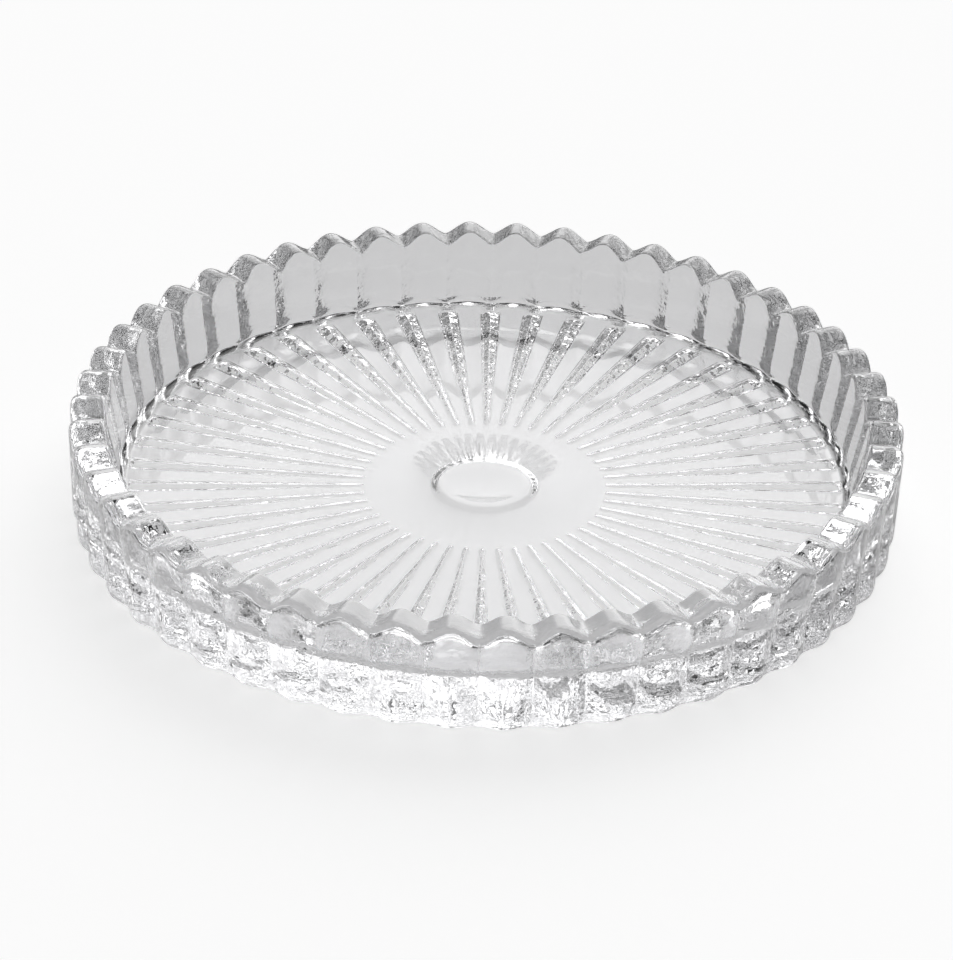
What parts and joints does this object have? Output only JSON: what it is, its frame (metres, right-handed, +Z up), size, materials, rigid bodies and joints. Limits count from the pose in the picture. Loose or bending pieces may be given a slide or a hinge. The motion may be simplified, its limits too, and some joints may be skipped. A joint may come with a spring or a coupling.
{
  "type": "candle plate",
  "caption": "Round clear pressed-glass candle plate with an upright ribbed wall, a toothed rim and a sunburst of reeds under its flat floor, for standing a pillar candle on.",
  "frame": {"origin": "on the table plane, on the plate's round axis", "axes": "+Z up along the plate's axis, out of the dish; +X through the crest of a rib, +Y through a groove between two ribs"},
  "size_m": [0.135, 0.1348, 0.018],
  "materials": {
    "clear_glass": "fire-polished"
  },
  "bodies": {
    "root": {"glass_plate": "clear_glass"}
  },
  "joints": []
}
